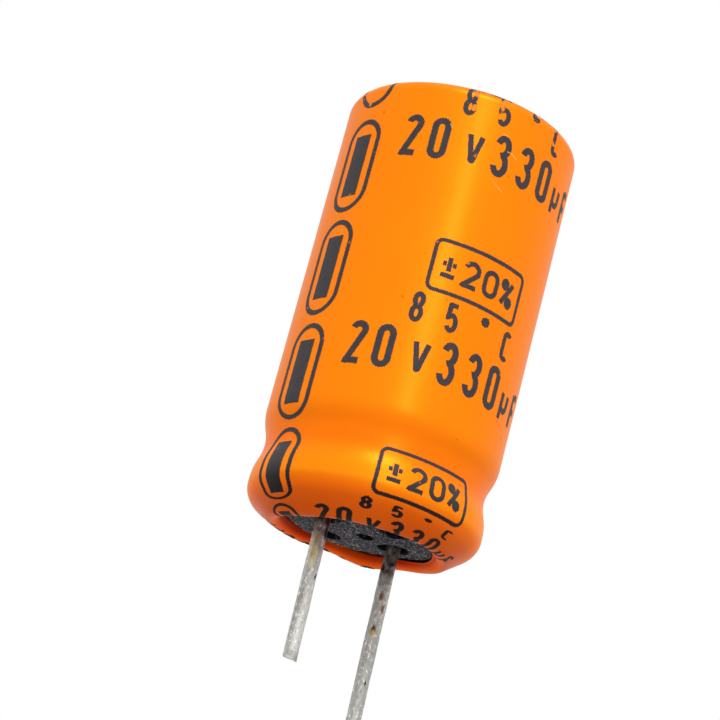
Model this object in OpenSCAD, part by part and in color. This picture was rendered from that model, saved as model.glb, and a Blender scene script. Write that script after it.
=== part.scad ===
// Radial aluminium electrolytic capacitor in a shrink sleeve, 13 x 25 mm, leads 5 mm apart.
// Z = 0 is the board's surface, where the sleeve's lip meets it. The body stands above it and
// the leads go down through it. The anode is at +X. The cathode and its marks are at -X.

/* [Can] */
// Outside diameter of the drawn aluminium can
can_d = 12.9; // [11:0.1:18]
// Thickness of the can's sheet
can_wall = 0.35; // [0.25:0.05:0.45]
// Height of the can's closed end above the board
can_top = 24.85; // [20:0.05:40]
// Inside radius of the closed end's edge
can_edge_r = 0.2; // [0.1:0.05:1]

/* [Pressure relief] */
// Length of each of the two lines pressed across the closed end
relief_len = 7; // [3:0.5:8]
// Depth of the lines
relief_depth = 0.15; // [0.05:0.01:0.2]
// Width of the lines at the surface
relief_w = 0.4; // [0.2:0.05:0.8]

/* [Crimp] */
// Height of the curled rim's centre above the board
rim_z = 1.7; // [1.5:0.05:2.2]
// How far the rim stays inside the can's diameter
rim_inset = 0.05; // [0:0.01:0.15]
// Inside radius of the rim's curl
curl_r = 0.55; // [0.4:0.05:0.7]
// Angle that the rim's curl turns through
curl_turn = 130; // [100:5:150]
// Height of the groove's middle above the rim's centre
groove_rise = 2.2; // [2.1:0.05:2.8]
// Depth of the groove, measured on the can
groove_depth = 0.9; // [0.6:0.05:1]
// Radius of the groove's bottom at the middle of the sheet
groove_r = 1; // [0.8:0.05:1.1]
// Radius of the groove's two shoulders at the middle of the sheet
shoulder_r = 1.8; // [1.5:0.05:1.9]

/* [Sleeve] */
// Thickness of the shrunk film
sleeve_wall = 0.14; // [0.08:0.01:0.25]
// Width of the film's flat ring on the closed end, inside its rounded edge
sleeve_flat = 0.9; // [0.3:0.1:2]
// How far the film sinks where it bridges the groove
bridge_depth = 0.38; // [0.1:0.01:0.5]
// Angle that the film turns through round the rim
lip_turn = 68; // [64:1:70]
// Angle that the lip turns back towards the board
lip_flare = 38; // [10:1:42]
// Radius of the lip's flare at the middle of the film
lip_flare_r = 1; // [0.5:0.1:1.3]

/* [Seal] */
// Height of the bung's inner face above the groove's middle
seal_rise = 2.4; // [2.2:0.1:4]
// How far the bung's outer face swells out between the rim's edges
seal_dome = 0.5; // [0.1:0.05:0.6]
// Depth of the well round each lead
well_depth = 1; // [0.6:0.1:1.4]
// Diameter of the dimple in the middle of the outer face
dimple_d = 1.25; // [0.8:0.05:1.6]
// Depth of the dimple
dimple_depth = 0.45; // [0.2:0.05:1]

/* [Leads] */
// Distance between the leads' centres
lead_pitch = 5; // [4:0.1:6]
// Diameter of the tinned wires
lead_d = 0.8; // [0.6:0.05:0.9]
// How far the cathode lead reaches below the board's surface
cathode_len = 7.5; // [3:0.1:25]
// How far the anode lead reaches below the board's surface
anode_len = 12; // [3:0.1:30]
// Width of the bevel round a lead's cut end
cut_bevel = 0.06; // [0.02:0.01:0.15]

/* [Terminals] */
// Diameter of the aluminium stub in the bung's hole
stub_d = 1.5; // [1.2:0.05:1.7]
// Length of the weld between a stub and its wire
weld_len = 0.35; // [0.2:0.05:0.5]
// Length of the stub that stands proud of the bung inside the can
stub_stand = 0.3; // [0.1:0.05:0.6]
// Length over which the stub is pressed from round to flat
press_len = 0.8; // [0.5:0.1:1]
// Thickness of the flat strip
strip_wall = 0.3; // [0.2:0.05:0.5]
// Width of the flat strip
strip_w = 2.2; // [1.8:0.1:3]
// Distance from the strip's end to the roll's far end
strip_margin = 2; // [0.5:0.5:6]

/* [Winding] */
// Height of the roll above the bung's inner face
roll_rise = 1.2; // [1.1:0.1:2]
// Space between the roll's far end and the can's closed end
roll_end_gap = 0.25; // [0.1:0.05:1]
// Space between the taped roll and the can's wall
roll_gap = 0.15; // [0.1:0.05:0.4]
// Diameter of the hole that the winding mandrel leaves
mandrel_d = 1.6; // [1:0.1:3]
// Distance between the paper edges that stand proud at the roll's ends
turn_pitch = 0.6; // [0.4:0.1:1]
// How far the paper edges stand proud of the foils
paper_proud = 0.25; // [0.1:0.05:0.4]
// Thickness of the tape round the roll
tape_wall = 0.06; // [0.04:0.01:0.08]
// Distance from the tape's edges to the roll's ends
tape_margin = 1; // [0.5:0.5:3]
// Angle over which the tape laps itself
tape_lap = 70; // [30:5:180]

/* [Hidden] */

$fn = 64;
// Each arc of an outline is drawn in steps of at most this angle
arc_step = 10;
// Clearance between pieces that are pressed or shrunk together
press_gap = 0.01;
// Clearance of the strips in the roll's slots
slot_gap = 0.03;
// Overshoot of cutting shapes
over = 0.1;

can_r = can_d / 2;
sheet_r = can_r - can_wall / 2;
can_roof = can_top - can_wall;
curl_mid_r = curl_r + can_wall / 2;
groove_z = rim_z + groove_rise;

film_gap = press_gap + sleeve_wall / 2;
film_r = can_r + film_gap;
film_rim_r = curl_mid_r + can_wall / 2 + film_gap;
film_slope = 90 - lip_turn;

seal_top = groove_z + seal_rise;
lead_x = lead_pitch / 2;
stub_r = stub_d / 2;

roll_r = can_r - can_wall - roll_gap - 2 * tape_wall - press_gap;
roll_z = seal_top + roll_rise;
roll_top = can_roof - roll_end_gap;
strip_z = seal_top + stub_stand + press_len;
strip_top = roll_top - strip_margin;

// A bend path is a list of moves. [length, 0] runs straight on and [radius, angle] turns along an
// arc, to the left when the angle is positive. A pose on it is [r, z, heading].
function at_move(pose, move, part) =
    move[1] == 0
    ? [pose.x + part * move[0] * cos(pose.z), pose.y + part * move[0] * sin(pose.z), pose.z]
    : let (side = sign(move[1]) * move[0], turned = pose.z + part * move[1])
      [pose.x + side * (sin(turned) - sin(pose.z)), pose.y - side * (cos(turned) - cos(pose.z)), turned];

// All poses after the first one
function walk(pose, moves, i = 0) =
    i == len(moves) ? []
    : let (move = moves[i], steps = max(1, ceil(abs(move[1]) / arc_step)))
      concat([for (k = [1:steps]) at_move(pose, move, k / steps)],
             walk(at_move(pose, move, 1), moves, i + 1));

function path(start, moves) = concat([start], walk(start, moves));

// The points at a distance to the left of a path
function face(poses, d) = [for (p = poses) [p.x - d * sin(p.z), p.y + d * cos(p.z)]];

function reversed(list) = [for (i = [len(list) - 1:-1:0]) list[i]];

// The outline of a sheet of even thickness that follows a path
function sheet(poses, t) = concat(face(poses, t / 2), reversed(face(poses, -t / 2)));

// The angle of each of two arcs that together step a path sideways by depth
function step_angle(depth, radii) = acos(1 - depth / radii);

// The can's sheet, from the closed end's centre out, down the wall, through the groove and round
// the curled rim
groove_radii = groove_r + shoulder_r;
groove_in = step_angle(groove_depth, groove_radii);
groove_out = step_angle(groove_depth - rim_inset, groove_radii);
groove_above = groove_radii * sin(groove_in);
groove_below = groove_radii * sin(groove_out);
edge_mid_r = can_edge_r + can_wall / 2;
wall_run = can_top - can_wall / 2 - edge_mid_r - groove_z - groove_above;
rim_run = groove_rise - groove_below;
can_start = [0, can_top - can_wall / 2, 0];
can_wall_moves = [
    [shoulder_r, -groove_in],
    [groove_r, groove_in + groove_out],
    [shoulder_r, -groove_out],
    [rim_run, 0],
    [curl_mid_r, -curl_turn]
];
can_moves = concat([[sheet_r - edge_mid_r, 0], [edge_mid_r, -90], [wall_run, 0]], can_wall_moves);

// The film over it, from the opening at the closed end to the lip at the board. It leaves the can
// at the groove's shoulders and bridges it in two flatter pairs of arcs.
film_edge_r = edge_mid_r + can_wall / 2 + film_gap;
bridge_in = 2 * atan(bridge_depth / groove_above);
bridge_out = 2 * atan((bridge_depth - rim_inset) / groove_below);
bridge_in_r = groove_above / sin(bridge_in) / 2;
bridge_out_r = groove_below / sin(bridge_out) / 2;
film_start = [film_r - film_edge_r - sleeve_flat, can_top + film_gap, 0];
film_run = can_top + film_gap - film_edge_r - groove_z - groove_above;
// The lip's straight run ends where its flare brings the outer corner down to the board
film_low = rim_z - film_rim_r * sin(lip_turn);
flare_end = film_slope + lip_flare;
flare_drop = lip_flare_r * (cos(film_slope) - cos(flare_end));
corner_drop = sleeve_wall / 2 * cos(flare_end);
lip_run = (film_low - flare_drop - corner_drop) / sin(film_slope);
film_moves = [
    [sleeve_flat, 0],
    [film_edge_r, -90],
    [film_run, 0],
    [bridge_in_r, -bridge_in],
    [bridge_in_r, bridge_in],
    [bridge_out_r, bridge_out],
    [bridge_out_r, -bridge_out],
    [rim_run, 0],
    [film_rim_r, -lip_turn],
    [lip_run, 0],
    [lip_flare_r, lip_flare]
];

// The bung's side follows the inside of the can from the bung's inner face to the rim's edge
seal_start = [sheet_r, seal_top, -90];
seal_run = seal_rise - groove_above;
seal_side = face(path(seal_start, concat([[seal_run, 0]], can_wall_moves)), -can_wall / 2 - press_gap);
seal_rim = seal_side[len(seal_side) - 1];
seal_steps = 10;
function seal_face(r) = seal_rim.y - seal_dome * (1 - pow(r / seal_rim.x, 2));
seal_outline = concat(
    [[0, seal_top]],
    seal_side,
    [for (i = [seal_steps - 1:-1:0]) let (r = seal_rim.x * i / seal_steps) [r, seal_face(r)]]
);

// The wires meet their stubs at the bottom of the wells
weld_top = seal_face(lead_x) + well_depth;
// The wire's root is slightly thicker, and ends clear of the bung's face
root_r = lead_d / 2 + 0.05;
root_z = seal_face(lead_x) - 0.4;

module revolved(outline) {
    rotate_extrude()
        polygon(outline);
}

// A line pressed in with a pointed tool: a square bar let in on its corner
module relief_line() {
    translate([0, 0, can_top])
        rotate([90, 0, 0])
            linear_extrude(relief_len, center = true)
                polygon([[-relief_w / 2, over], [-relief_w / 2, 0], [0, -relief_depth],
                         [relief_w / 2, 0], [relief_w / 2, over]]);
}

module sleeve() {
    color("darkorange")
        revolved(sheet(path(film_start, film_moves), sleeve_wall));
}

module can() {
    color("silver")
        difference() {
            revolved(sheet(path(can_start, can_moves), can_wall));
            for (turn = [45, 135])
                rotate([0, 0, turn])
                    relief_line();
        }
}

module seal() {
    color("#3a3a3e")
        difference() {
            revolved(seal_outline);
            for (x = [-lead_x, lead_x])
                translate([x, 0, 0])
                    cylinder(h = seal_top + over, r = stub_r + press_gap);
            translate([0, 0, seal_face(0) - over])
                cylinder(h = dimple_depth + over, d1 = dimple_d, d2 = dimple_d * 0.6);
        }
}

module lead(x, length) {
    translate([x, 0, 0])
        revolved([
            [0, weld_top], [stub_r * 0.9, weld_top], [root_r, weld_top - weld_len],
            [lead_d / 2, root_z], [lead_d / 2, cut_bevel - length],
            [lead_d / 2 - cut_bevel, -length], [0, -length]
        ]);
}

module cathode_lead() {
    color("#a0a09a")
        lead(-lead_x, cathode_len);
}

module anode_lead() {
    color("#a0a09a")
        lead(lead_x, anode_len);
}

// A stub, pressed flat above the bung into the strip that lies between the roll's turns
module tab(x) {
    translate([x, 0, 0]) {
        translate([0, 0, weld_top])
            cylinder(h = seal_top + stub_stand - weld_top, r = stub_r);
        hull() {
            translate([0, 0, seal_top + stub_stand - over])
                cylinder(h = over, r = stub_r, $fn = 32);
            translate([-strip_wall / 2, -strip_w / 2, strip_z])
                cube([strip_wall, strip_w, over]);
        }
        translate([-strip_wall / 2, -strip_w / 2, strip_z])
            cube([strip_wall, strip_w, strip_top - strip_z]);
    }
}

module cathode_tab() {
    color("gainsboro")
        tab(-lead_x);
}

module anode_tab() {
    color("gainsboro")
        tab(lead_x);
}

// A ring cut into a roll's end between two paper edges
module foil_ring(r) {
    difference() {
        cylinder(h = paper_proud + over, r = r + turn_pitch / 4);
        translate([0, 0, -over])
            cylinder(h = paper_proud + 3 * over, r = r - turn_pitch / 4);
    }
}

module winding() {
    first = mandrel_d / 2 + turn_pitch;
    last = roll_r - turn_pitch / 2;
    color("tan")
        difference() {
            translate([0, 0, roll_z])
                cylinder(h = roll_top - roll_z, r = roll_r);
            translate([0, 0, roll_z - over])
                cylinder(h = roll_top - roll_z + 2 * over, d = mandrel_d);
            for (r = [first:turn_pitch:last]) {
                translate([0, 0, roll_z - over])
                    foil_ring(r);
                translate([0, 0, roll_top - paper_proud])
                    foil_ring(r);
            }
            for (x = [-lead_x, lead_x])
                translate([x - strip_wall / 2 - slot_gap, -strip_w / 2 - slot_gap, roll_z - over])
                    cube([strip_wall + 2 * slot_gap, strip_w + 2 * slot_gap,
                          strip_top - roll_z + over + slot_gap]);
        }
}

// One turn of tape round the roll, with a second layer where it laps itself
module stop_tape() {
    inner = roll_r + press_gap;
    length = roll_top - roll_z - 2 * tape_margin;
    color("khaki")
        translate([0, 0, roll_z + tape_margin])
            union() {
                rotate_extrude()
                    translate([inner, 0])
                        square([tape_wall, length]);
                rotate_extrude(angle = tape_lap)
                    translate([inner, 0])
                        square([2 * tape_wall, length]);
            }
}

sleeve();
can();
seal();
cathode_lead();
anode_lead();
cathode_tab();
anode_tab();
winding();
stop_tape();
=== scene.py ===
# %% [markdown]
# # An electrolytic capacitor in a shrink sleeve
#
# The object is a radial capacitor as it comes off an old circuit board. A drawn aluminium can
# holds the roll of foil and paper. A rubber bung closes it, two tinned wires come out through the
# bung, and a printed orange film is shrunk over the lot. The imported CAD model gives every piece
# its place and size. This script gives them their looks: the film and its print, the wires, the
# dust and the light.

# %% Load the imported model
import math
import random

import bmesh
import bpy
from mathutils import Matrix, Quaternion, Vector, noise


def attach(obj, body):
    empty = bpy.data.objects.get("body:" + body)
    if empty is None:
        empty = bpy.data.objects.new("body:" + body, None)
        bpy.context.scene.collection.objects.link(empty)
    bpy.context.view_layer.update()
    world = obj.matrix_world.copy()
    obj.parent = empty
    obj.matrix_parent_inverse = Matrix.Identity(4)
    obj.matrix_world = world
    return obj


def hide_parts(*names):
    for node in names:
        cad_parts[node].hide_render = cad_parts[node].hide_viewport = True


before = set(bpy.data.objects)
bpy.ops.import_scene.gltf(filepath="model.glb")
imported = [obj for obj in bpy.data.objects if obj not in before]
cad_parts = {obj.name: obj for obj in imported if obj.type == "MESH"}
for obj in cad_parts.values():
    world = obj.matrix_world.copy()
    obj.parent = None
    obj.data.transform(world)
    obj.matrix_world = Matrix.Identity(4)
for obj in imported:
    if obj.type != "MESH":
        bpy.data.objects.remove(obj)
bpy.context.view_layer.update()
print("nodes:", sorted(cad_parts))

# %% [markdown]
# ## The camera
#
# The photograph looks at the body from below and from the cathode's side, through a long lens. The
# camera is set from the angles that a surveyor would use, azimuth, elevation and roll, and from
# one point of the body's axis whose place in the picture is known. A long lens far away keeps the
# body's sides nearly parallel, as the photograph does.

# %% Place the camera at the photograph's angle
MM = 0.001


def placed(name, data, at=(0, 0, 0), turn=Quaternion()):
    """An object in the scene, at a place in millimetres and turned."""
    thing = bpy.data.objects.new(name, data)
    thing.location = Vector(at) * MM
    thing.rotation_mode = "QUATERNION"
    thing.rotation_quaternion = turn
    bpy.context.collection.objects.link(thing)
    return thing


PHOTO_PX = 720
LENS = 141.3
SENSOR = 36.0
AZIMUTH = -35.0
ELEVATION = -20.0
ROLL = 15.1
DISTANCE = 156.3
AXIS_POINT = Vector((0, 0, 11.75))
AXIS_POINT_PX = (408.5, 345.2)

azimuth, elevation = math.radians(AZIMUTH), math.radians(ELEVATION)
back = Vector((math.sin(azimuth) * math.cos(elevation), -math.cos(azimuth) * math.cos(elevation),
               math.sin(elevation)))
turn = back.to_track_quat("Z", "Y") @ Quaternion((0, 0, 1), math.radians(ROLL))
focal_px = LENS / SENSOR * PHOTO_PX
right, up = turn @ Vector((1, 0, 0)), turn @ Vector((0, 1, 0))
shift_right = (AXIS_POINT_PX[0] - PHOTO_PX / 2) / focal_px
shift_up = (PHOTO_PX / 2 - AXIS_POINT_PX[1]) / focal_px
camera_mm = AXIS_POINT + DISTANCE * (back - shift_right * right - shift_up * up)

camera = placed("camera", bpy.data.cameras.new("camera"), camera_mm, turn)
camera.data.lens = LENS
camera.data.sensor_width = SENSOR
camera.data.clip_start = 0.001
bpy.context.scene.camera = camera
print("camera at", [round(x, 1) for x in camera_mm], "mm")

# %% [markdown]
# ## Helpers for materials
#
# A colour is written as the sRGB hex value that a painter would pick from a picture, and one
# function turns it to the linear numbers that Blender works in. One more function adds a node: the
# names with a capital are the node's inputs, and the others are its settings. Patterns are sized
# in millimetres, so that grain stays grain when someone reads the file later. Two looks come back
# in most finishes, a spot at a place and a colour laid over another where a pattern says, and each
# has its function.

# %% Colours and nodes
def linear(code):
    """An sRGB hex colour as linear RGBA."""
    values = [int(code[i:i + 2], 16) / 255 for i in (1, 3, 5)]
    return [v / 12.92 if v <= 0.04045 else ((v + 0.055) / 1.055) ** 2.4 for v in values] + [1.0]


def per(size_mm):
    """The scale of a texture whose pattern repeats about every size_mm."""
    return 1 / (size_mm * MM)


def fill(node, sockets):
    """Gives a node's inputs their values, hex colours or other nodes' outputs.

    An input goes by its name, or by In and its number where several share a name.
    """
    for name, value in sockets.items():
        socket = node.inputs[int(name[2:]) if name[2:].isdigit() else name.replace("_", " ")]
        if isinstance(value, bpy.types.NodeSocket):
            node.id_data.links.new(value, socket)
        else:
            socket.default_value = linear(value) if isinstance(value, str) else value


def add(tree, kind, out=0, stops=(), **given):
    """Adds a node and gives back one of its outputs. Stops are places and colours on a ramp."""
    node = tree.nodes.new("ShaderNode" + kind)
    for name, value in given.items():
        if not name[0].isupper():
            setattr(node, name, value)
    fill(node, {name: value for name, value in given.items() if name[0].isupper()})
    if stops:
        elements = node.color_ramp.elements
        while len(elements) < len(stops):
            elements.new(1.0)
        for element, (position, colour) in zip(elements, stops):
            element.position = position
            element.color = linear(colour)
    return node.outputs[out]


# %% Materials and what they share
def new_material(name, colour, **shader):
    """A material of one colour, its node tree, its shader and the object's own coordinates."""
    material = bpy.data.materials.new(name)
    material.use_nodes = True
    tree = material.node_tree
    skin = tree.nodes["Principled BSDF"]
    fill(skin, {"Base_Color": colour, **shader})
    material.diffuse_color = linear(colour)
    return material, tree, skin, add(tree, "TexCoord", out="Object")


def finish(skin, colour, relief, depth, **more):
    """Ends a material with its colour and a relief, whose depth is in millimetres."""
    bump = add(skin.id_data, "Bump", Strength=1.0, Distance=depth * MM, Height=relief)
    fill(skin, {"Base_Color": colour, "Normal": bump, **more})


def spot(place, middle, radius, soft, pattern=None, ragged=0.0):
    """1 within a radius of a middle, 0 past a soft edge, which a pattern may make ragged."""
    tree = place.id_data
    away = add(tree, "VectorMath", out="Value", operation="DISTANCE", In0=place,
               In1=Vector(middle) * MM)
    if pattern is not None:
        away = add(tree, "Math", operation="MULTIPLY_ADD", In0=pattern, In1=ragged * MM, In2=away)
    return add(tree, "MapRange", Value=away, From_Min=(radius + soft) * MM, From_Max=radius * MM)


def laid_over(under, over, pattern, low=0.0, high=1.0, share=1.0):
    """Lays a colour over another by a pattern: none of it at low, and a share of it at high."""
    tree = pattern.id_data
    cover = add(tree, "MapRange", Value=pattern, From_Min=low, From_Max=high, To_Max=share)
    return add(tree, "Mix", out=2, data_type="RGBA", In0=cover, In6=under, In7=over)


def mottled(skin, place, size, detail, stops, depth):
    """Ends a material with a colour that wanders with a pattern, which also raises the face."""
    tree = skin.id_data
    pattern = add(tree, "TexNoise", Vector=place, Scale=per(size), Detail=detail)
    finish(skin, add(tree, "ValToRGB", Fac=pattern, stops=stops), pattern, depth)


# %% [markdown]
# ## Helpers for meshes
#
# Every piece is modelled in millimetres in a bmesh and scaled to metres at the end, so the numbers
# below can be held against a caliper. An outline that bends, such as the film's section, is
# written as a path: straight runs and arcs one after the other, as a sheet metal worker would bend
# it.

# %% Path and piece helpers
def at_move(pose, move, part):
    """The pose [r, z, heading] after a part of a move, which is (length, 0) or (radius, angle)."""
    r, z, heading = pose
    size, angle = move
    if angle == 0:
        return [r + part * size * math.cos(heading), z + part * size * math.sin(heading), heading]
    side = math.copysign(size, angle)
    turned = heading + part * math.radians(angle)
    return [r + side * (math.sin(turned) - math.sin(heading)),
            z - side * (math.cos(turned) - math.cos(heading)), turned]


def bend_path(start, moves, run_step, arc_step):
    """Poses along the moves, steps of millimetres or degrees apart, and how far along each lies."""
    poses, lengths = [start], [0.0]
    for size, angle in moves:
        span = size if angle == 0 else size * math.radians(abs(angle))
        steps = max(1, math.ceil(size / run_step if angle == 0 else abs(angle) / arc_step))
        first, length = poses[-1], lengths[-1]
        for k in range(1, steps + 1):
            poses.append(at_move(first, (size, angle), k / steps))
            lengths.append(length + span * k / steps)
    return poses, lengths


def beside(pose, offset):
    """The point at an offset to the left of a pose, as (r, z)."""
    r, z, heading = pose
    return r - offset * math.sin(heading), z + offset * math.cos(heading)


def spun(outline, middle=(0.0, 0.0), steps=96, closed=False):
    """Spins an outline that starts and ends on the axis, or a closed one that stays off it."""
    bm = bmesh.new()
    points = [bm.verts.new((r, 0, z)) for r, z in outline]
    pairs = zip(points, points[1:] + (points[:1] if closed else []))
    edges = [bm.edges.new(pair) for pair in pairs]
    bmesh.ops.spin(bm, geom=points + edges, cent=(0, 0, 0), axis=(0, 0, 1), angle=math.tau,
                   steps=steps, use_merge=True)
    bmesh.ops.remove_doubles(bm, verts=bm.verts, dist=0.001)
    bmesh.ops.translate(bm, vec=(*middle, 0), verts=bm.verts)
    bmesh.ops.recalc_face_normals(bm, faces=bm.faces)
    return bm


def finished(name, bm, material, replaces=(), smooth=True):
    """Makes a piece of a bmesh drawn in millimetres, and says what it is to the frame."""
    open_edges = sum(not edge.is_manifold for edge in bm.edges)
    volume = bm.calc_volume(signed=True)
    bmesh.ops.scale(bm, vec=(MM, MM, MM), verts=bm.verts)
    mesh = bpy.data.meshes.new(name)
    bm.to_mesh(mesh)
    bm.free()
    mesh.materials.append(material)
    mesh.polygons.foreach_set("use_smooth", [smooth] * len(mesh.polygons))
    piece = placed(name, mesh)
    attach(piece, "root")
    if replaces:
        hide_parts(*replaces)
    print(name, len(mesh.polygons), "faces,", open_edges, "open edges,", round(volume, 3), "mm3")
    return piece


def dress(material, *nodes):
    """Gives CAD nodes their material."""
    for node in nodes:
        mesh = bpy.data.objects[node].data
        mesh.materials.clear()
        mesh.materials.append(material)


# %% [markdown]
# ## The film's section
#
# The sleeve starts as a printed tube of orange PVC film. Heat shrinks it onto the can: it turns in
# over the closed end, hugs the wall, bridges the can's rolled groove without touching its bottom,
# wraps the curled rim in a round bead and turns up inside it to the bung's face. The same path as
# in the CAD model gives the section, with the arcs drawn in finer steps and the bead closed.

# %% Lay out the film's section
CAN_R = 6.45
CAN_TOP = 24.85
FILM = 0.14
FILM_GAP = 0.01
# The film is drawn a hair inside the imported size, to leave room for the ink
INK_ROOM = 0.02
EDGE_R = 0.63
FLAT_RING = 0.9
RIM_Z = 1.7
RIM_INSET = 0.05
RIM_R = 0.98
GROOVE_RISE = 2.2
GROOVE_DEPTH = 0.9
GROOVE_RADII = 2.8
BRIDGE_DEPTH = 0.38
# The bead: how far the film turns round the rim, the bead's radius, and the angle that its inner
# wall leans in by
BEAD_TURN = 50
BEAD_R = 0.5
BEAD_LEAN = 25
BEAD_INNER_RUN = 0.47


def half_groove(depth):
    """The height of one half of the rolled groove, which two arcs step in by depth."""
    return GROOVE_RADII * math.sin(math.acos(1 - depth / GROOVE_RADII))


def s_bend(half, angle):
    """Two arcs, one against the other, that step the film sideways over half of the groove."""
    radius = half / math.sin(abs(angle)) / 2
    return [(radius, math.degrees(angle)), (radius, -math.degrees(angle))]


above, below = half_groove(GROOVE_DEPTH), half_groove(GROOVE_DEPTH - RIM_INSET)
bridge_in = 2 * math.atan(BRIDGE_DEPTH / above)
bridge_out = 2 * math.atan((BRIDGE_DEPTH - RIM_INSET) / below)
groove_z = RIM_Z + GROOVE_RISE
film_r = CAN_R + FILM_GAP + FILM / 2 - INK_ROOM
film_top = CAN_TOP + FILM_GAP + FILM / 2 - INK_ROOM
barrel_run = film_top - EDGE_R - groove_z - above
bead_slope = math.radians(90 - BEAD_TURN)
bead_drop = BEAD_R * (1 - math.cos(bead_slope)) + FILM / 2
bead_run = (RIM_Z - RIM_R * math.sin(math.radians(BEAD_TURN)) - bead_drop) / math.sin(bead_slope)
film_moves = [
    (FLAT_RING, 0),
    (EDGE_R, -90),
    (barrel_run, 0),
    *s_bend(above, -bridge_in),
    *s_bend(below, bridge_out),
    (GROOVE_RISE - below, 0),
    (RIM_R, -BEAD_TURN),
    (bead_run, 0),
    (BEAD_R, BEAD_TURN + BEAD_LEAN - 180),
    (BEAD_INNER_RUN, 0),
]
film_start = [film_r - EDGE_R - FLAT_RING, film_top, 0.0]
film_poses, film_lengths = bend_path(film_start, film_moves, run_step=0.35, arc_step=3)
film_length = film_lengths[-1]
edge_length = FLAT_RING + EDGE_R * math.pi / 2
bead_low = min(film_poses, key=lambda pose: pose[1])
print("film section", round(film_length, 2), "mm, bead's foot at r", round(bead_low[0], 2),
      "and the film's end at", [round(x, 2) for x in film_poses[-1][:2]])

# %% [markdown]
# Real film never shrinks evenly. It is a little loose on the barrel, so reflections wander, and it
# sags in and out where it bridges the groove. The bead is the least even: it hangs further down on
# the side that the camera sees than behind. The bead's shape is given as the radius and height of
# its foot at a few places round the body, with a smooth curve through them, as a lathe hand would
# note it with a caliper. One function moves any point of the even sleeve to where the film lies.
# The film and the ink both go through it, so the print stays on the film wherever it moves.

# %% The bead's shape, round the body from the front
FRONT = -125.0
# Angle from the front, how far out the bead's foot lies there, its height over the board, and how
# far the film's end stays short of the bung
BEAD_SHAPE = [
    (-165, -0.05, 0.46, 0.0), (-140, -0.04, 0.36, -0.04), (-115, -0.05, 0.25, 0.0),
    (-90, -0.04, -0.01, 0.05), (-65, -0.04, -0.27, 0.1), (-40, -0.04, -0.41, 0.1),
    (-15, -0.01, -0.37, 0.1), (12, -0.02, -0.33, 0.2), (38, -0.01, -0.24, 0.3),
    (62, -0.02, -0.18, 0.42), (85, -0.09, -0.08, 0.5), (108, -0.10, -0.06, 0.45),
    (125, -0.03, 0.12, 0.3), (147, -0.05, 0.30, 0.1), (170, 0.0, 0.18, 0.04),
]


def smooth_step(low, high, x):
    """0 up to low and 1 from high on, with a smooth rise between them."""
    t = min(1.0, max(0.0, (x - low) / (high - low)))
    return t * t * (3 - 2 * t)


def hump(centre, width, x):
    """1 at the centre, falling smoothly to 0 at a width to either side."""
    return smooth_step(width, 0, abs(x - centre))


def through(before, start, end, after, t):
    """A smooth curve from start to end that also heeds the values on either side."""
    rise, fall = (end - before) / 2, (after - start) / 2
    bend = 3 * (end - start) - 2 * rise - fall
    return start + t * (rise + t * (bend + t * (rise + fall - 2 * (end - start))))


def bead_at(degrees):
    """How far out and how high the bead's foot lies at an angle from the front, and the gap."""
    count = len(BEAD_SHAPE)
    turned = (degrees - BEAD_SHAPE[0][0]) % 360
    i = max(k for k in range(count) if BEAD_SHAPE[k][0] - BEAD_SHAPE[0][0] <= turned)
    near = [BEAD_SHAPE[(i + k) % count] for k in (-1, 0, 1, 2)]
    gap = (near[2][0] - near[1][0]) % 360
    t = (turned - (near[1][0] - BEAD_SHAPE[0][0])) / gap
    return [through(*[row[column] for row in near], t) for column in (1, 2, 3)]


# %% The film's unevenness
BARREL_WAVE = 0.025
BARREL_WAVE_MM = 5.0
GROOVE_WAVE = 0.06
# The heights between which the film takes the bead's shape, and where the film's end stays short
BEAD_FROM_Z, BEAD_FULL_Z = 1.0, 0.12
SHORT_Z = (0.3, 0.8)
SHORT_R = (4.7, 4.5)


def shrunk(point):
    """Moves a point of the even sleeve to where the shrunk film really lies. All in millimetres."""
    r, z = math.hypot(point.x, point.y), point.z
    angle = math.atan2(point.y, point.x)
    around = Vector((math.cos(angle), math.sin(angle), 0))
    loose = 0.5 + 0.5 * noise.noise(point / BARREL_WAVE_MM)
    inward = BARREL_WAVE * loose * smooth_step(0, 3, r - 3)
    bridge = hump(groove_z, above, z)
    inward += GROOVE_WAVE * bridge * (0.5 + noise.noise(around * 1.6 + Vector((0, 0, z / 3))))
    out, lift, short = bead_at(math.degrees(angle) - FRONT)
    on_bead = smooth_step(BEAD_FROM_Z, BEAD_FULL_Z, z)
    inward -= out * on_bead
    lift *= on_bead
    lift -= short * smooth_step(*SHORT_Z, z) * smooth_step(*SHORT_R, r)
    return Vector(((r - inward) * around.x, (r - inward) * around.y, z + lift))


print("bead's foot at the front, out and up:", [round(x, 2) for x in bead_at(0)])
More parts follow.
